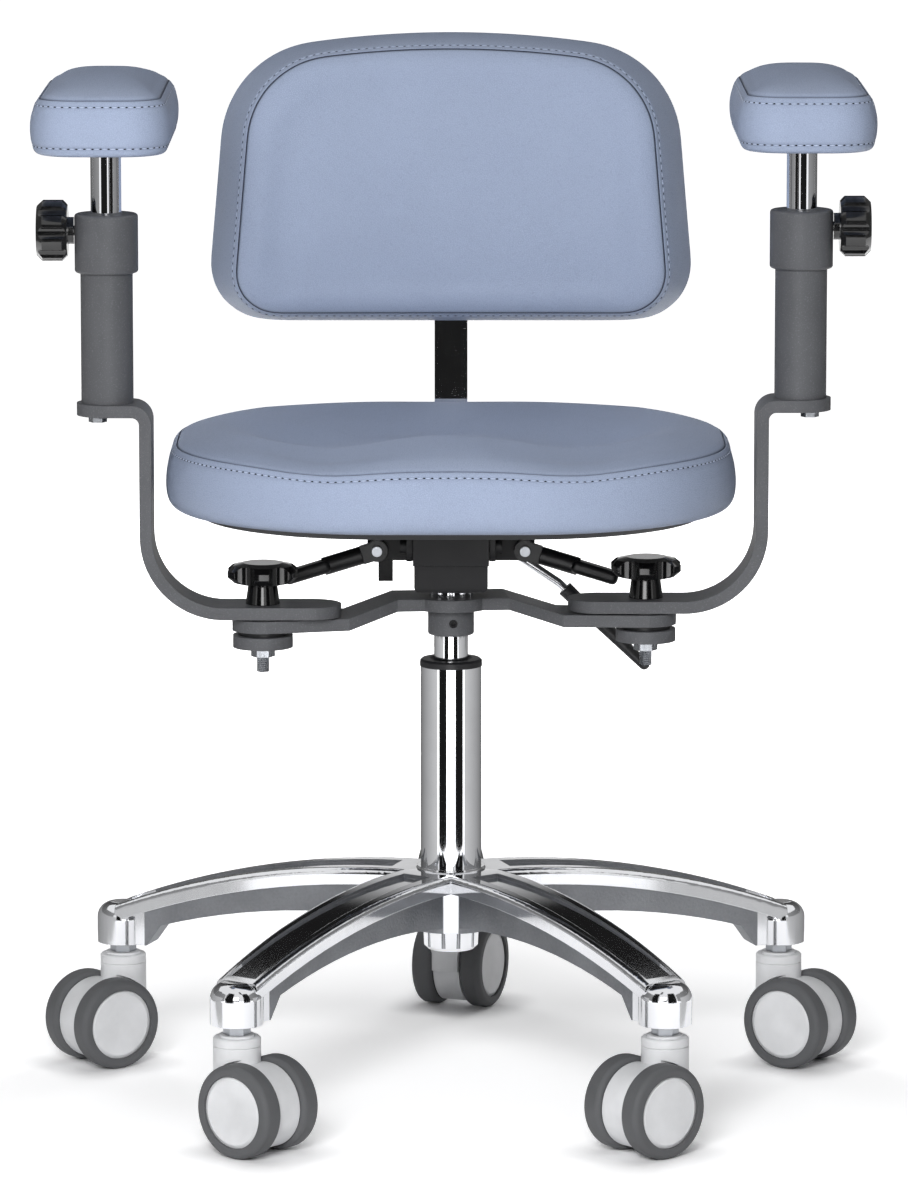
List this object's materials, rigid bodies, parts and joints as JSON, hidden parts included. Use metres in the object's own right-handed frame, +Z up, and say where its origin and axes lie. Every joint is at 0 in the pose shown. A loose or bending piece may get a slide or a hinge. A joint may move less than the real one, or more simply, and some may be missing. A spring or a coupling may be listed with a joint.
{
  "type": "laboratory chair",
  "caption": "Height-adjustable laboratory chair with a contoured seat, small padded back and swinging armrests on a polished star base with twin-wheel casters.",
  "frame": {"origin": "on the floor, on the axis of the column", "axes": "+Z up along the column; the sitter faces -Y; +X to the right as seen from the front"},
  "size_m": [0.6826, 0.6518, 0.8559],
  "materials": {
    "upholstery": "satin",
    "shell": "matte",
    "black_plastic": "satin",
    "knob_plastic": "gloss",
    "black_steel": "satin",
    "grey_coat": "matte",
    "polished_aluminium": "polished",
    "chrome": "polished",
    "bright_steel": "satin",
    "caster_plastic": "satin",
    "caster_tread": "matte"
  },
  "bodies": {
    "base": {"base_star": "polished_aluminium", "caster_stems": "bright_steel", "column_tube": "chrome", "column_guide_bush": "black_plastic"},
    "lift_rod": {"piston_rod": "bright_steel", "lift_thrust_bearing": "bright_steel"},
    "lift": {"gas_cylinder": "chrome", "carrier_plate": "grey_coat", "carrier_collar": "grey_coat", "collar_set_screw": "bright_steel", "ring_nut": "chrome", "swing_studs": "bright_steel", "swing_discs": "grey_coat", "swing_washers": "black_plastic", "mechanism_pan": "black_steel", "mechanism_housing": "black_steel", "tilt_axles": "bright_steel", "lever_brackets": "black_steel", "lever_screws": "bright_steel"},
    "seat": {"seat_cushion": "upholstery", "seat_shell": "shell", "seat_frame": "black_steel"},
    "back": {"back_cushion": "upholstery", "back_shell": "shell", "back_bar": "chrome"},
    "height_lever": {"height_lever": "black_plastic"},
    "seat_lever": {"seat_lever": "black_plastic"},
    "back_lever": {"back_lever_rod": "chrome", "back_lever_grip": "black_plastic"},
    "left_arm": {"left_arm_bar": "grey_coat", "left_post_tube": "grey_coat", "left_post_clamp": "grey_coat", "left_post_screw": "bright_steel"},
    "left_arm_rod": {"left_arm_rod": "chrome"},
    "left_arm_pad": {"left_arm_pad": "upholstery"},
    "left_hand_wheel": {"left_hand_wheel": "knob_plastic"},
    "left_swing_knob": {"left_swing_knob": "knob_plastic"},
    "right_arm": {"right_arm_bar": "grey_coat", "right_post_tube": "grey_coat", "right_post_clamp": "grey_coat", "right_post_screw": "bright_steel"},
    "right_arm_rod": {"right_arm_rod": "chrome"},
    "right_arm_pad": {"right_arm_pad": "upholstery"},
    "right_hand_wheel": {"right_hand_wheel": "knob_plastic"},
    "right_swing_knob": {"right_swing_knob": "knob_plastic"},
    "caster_right": {"caster_right_body": "caster_plastic"},
    "caster_right_wheels": {"caster_right_wheels": "caster_plastic", "caster_right_tyres": "caster_tread"},
    "caster_rear": {"caster_rear_body": "caster_plastic"},
    "caster_rear_wheels": {"caster_rear_wheels": "caster_plastic", "caster_rear_tyres": "caster_tread"},
    "caster_left": {"caster_left_body": "caster_plastic"},
    "caster_left_wheels": {"caster_left_wheels": "caster_plastic", "caster_left_tyres": "caster_tread"},
    "caster_front_left": {"caster_front_left_body": "caster_plastic"},
    "caster_front_left_wheels": {"caster_front_left_wheels": "caster_plastic", "caster_front_left_tyres": "caster_tread"},
    "caster_front_right": {"caster_front_right_body": "caster_plastic"},
    "caster_front_right_wheels": {"caster_front_right_wheels": "caster_plastic", "caster_front_right_tyres": "caster_tread"}
  },
  "joints": [
    {"name": "seat_swivel", "type": "hinge", "parent": "base", "child": "lift_rod", "pos_m": [0, 0, 0.115], "axis": [0, 0, 1], "continuous": true},
    {"name": "gas_lift", "type": "slide", "parent": "lift_rod", "child": "lift", "axis": [0, 0, 1], "range_m": [-0.015, 0.115]},
    {"name": "seat_tilt", "type": "hinge", "parent": "lift", "child": "seat", "pos_m": [0, -0.038, 0.4573], "axis": [1, 0, 0], "range_deg": [-3, 8]},
    {"name": "back_tilt", "type": "hinge", "parent": "lift", "child": "back", "pos_m": [0, 0.098, 0.4523], "axis": [-1, 0, 0], "range_deg": [-4, 18]},
    {"name": "height_lever_lift", "type": "hinge", "parent": "lift", "child": "height_lever", "pos_m": [0.061, 0.0257, 0.4443], "axis": [0, -1, 0], "range_deg": [0, 8], "stiffness_Nm_per_rad": 0.5},
    {"name": "seat_lever_lift", "type": "hinge", "parent": "lift", "child": "seat_lever", "pos_m": [-0.061, 0.0257, 0.4443], "axis": [0, 1, 0], "range_deg": [0, 8], "stiffness_Nm_per_rad": 0.5},
    {"name": "back_lever_lift", "type": "hinge", "parent": "lift", "child": "back_lever", "pos_m": [0.0348, 0.06, 0.4483], "axis": [0, -1, 0], "range_deg": [0, 8], "stiffness_Nm_per_rad": 1},
    {"name": "left_arm_swing", "type": "hinge", "parent": "lift", "child": "left_arm", "pos_m": [-0.1535, -0.0463, 0.4008], "axis": [0, 0, 1], "range_deg": [-12, 12]},
    {"name": "left_arm_height", "type": "slide", "parent": "left_arm", "child": "left_arm_rod", "axis": [0, 0, 1], "range_m": [-0.04, 0.04]},
    {"name": "left_pad_turn", "type": "hinge", "parent": "left_arm_rod", "child": "left_arm_pad", "pos_m": [-0.2789, -0.0463, 0.7863], "axis": [0, 0, 1], "continuous": true},
    {"name": "left_hand_wheel_turn", "type": "hinge", "parent": "left_arm", "child": "left_hand_wheel", "pos_m": [-0.2789, -0.0463, 0.7163], "axis": [-1, 0, 0], "range_deg": [-360, 0]},
    {"name": "left_swing_knob_turn", "type": "hinge", "parent": "lift", "child": "left_swing_knob", "pos_m": [-0.1535, -0.0463, 0.4108], "axis": [0, 0, 1], "range_deg": [0, 360]},
    {"name": "right_arm_swing", "type": "hinge", "parent": "lift", "child": "right_arm", "pos_m": [0.15977, -0.01337, 0.4008], "axis": [0, 0, 1], "range_deg": [-12, 12]},
    {"name": "right_arm_height", "type": "slide", "parent": "right_arm", "child": "right_arm_rod", "axis": [0, 0, 1], "range_m": [-0.04, 0.04]},
    {"name": "right_pad_turn", "type": "hinge", "parent": "right_arm_rod", "child": "right_arm_pad", "pos_m": [0.28517, -0.01337, 0.7863], "axis": [0, 0, 1], "continuous": true},
    {"name": "right_hand_wheel_turn", "type": "hinge", "parent": "right_arm", "child": "right_hand_wheel", "pos_m": [0.28517, -0.01337, 0.7163], "axis": [1, 0, 0], "range_deg": [-360, 0]},
    {"name": "right_swing_knob_turn", "type": "hinge", "parent": "lift", "child": "right_swing_knob", "pos_m": [0.15977, -0.01337, 0.4108], "axis": [0, 0, 1], "range_deg": [0, 360]},
    {"name": "caster_right_swivel", "type": "hinge", "parent": "base", "child": "caster_right", "pos_m": [0.27581, 0.08962, 0.094], "axis": [0, 0, 1], "continuous": true},
    {"name": "caster_right_roll", "type": "hinge", "parent": "caster_right", "child": "caster_right_wheels", "pos_m": [0.29383, 0.077, 0.038], "axis": [0.5736, 0.8192, 0], "continuous": true},
    {"name": "caster_rear_swivel", "type": "hinge", "parent": "base", "child": "caster_rear", "pos_m": [0, 0.29, 0.094], "axis": [0, 0, 1], "continuous": true},
    {"name": "caster_rear_roll", "type": "hinge", "parent": "caster_rear", "child": "caster_rear_wheels", "pos_m": [0.00824, 0.3104, 0.038], "axis": [-0.9272, 0.3746, 0], "continuous": true},
    {"name": "caster_left_swivel", "type": "hinge", "parent": "base", "child": "caster_left", "pos_m": [-0.27581, 0.08962, 0.094], "axis": [0, 0, 1], "continuous": true},
    {"name": "caster_left_roll", "type": "hinge", "parent": "caster_left", "child": "caster_left_wheels", "pos_m": [-0.29383, 0.077, 0.038], "axis": [0.5736, -0.8192, 0], "continuous": true},
    {"name": "caster_front_left_swivel", "type": "hinge", "parent": "base", "child": "caster_front_left", "pos_m": [-0.17046, -0.23461, 0.094], "axis": [0, 0, 1], "continuous": true},
    {"name": "caster_front_left_roll", "type": "hinge", "parent": "caster_front_left", "child": "caster_front_left_wheels", "pos_m": [-0.1536, -0.24876, 0.038], "axis": [0.6428, 0.766, 0], "continuous": true},
    {"name": "caster_front_right_swivel", "type": "hinge", "parent": "base", "child": "caster_front_right", "pos_m": [0.17046, -0.23461, 0.094], "axis": [0, 0, 1], "continuous": true},
    {"name": "caster_front_right_roll", "type": "hinge", "parent": "caster_front_right", "child": "caster_front_right_wheels", "pos_m": [0.1536, -0.24876, 0.038], "axis": [0.6428, -0.766, 0], "continuous": true}
  ]
}
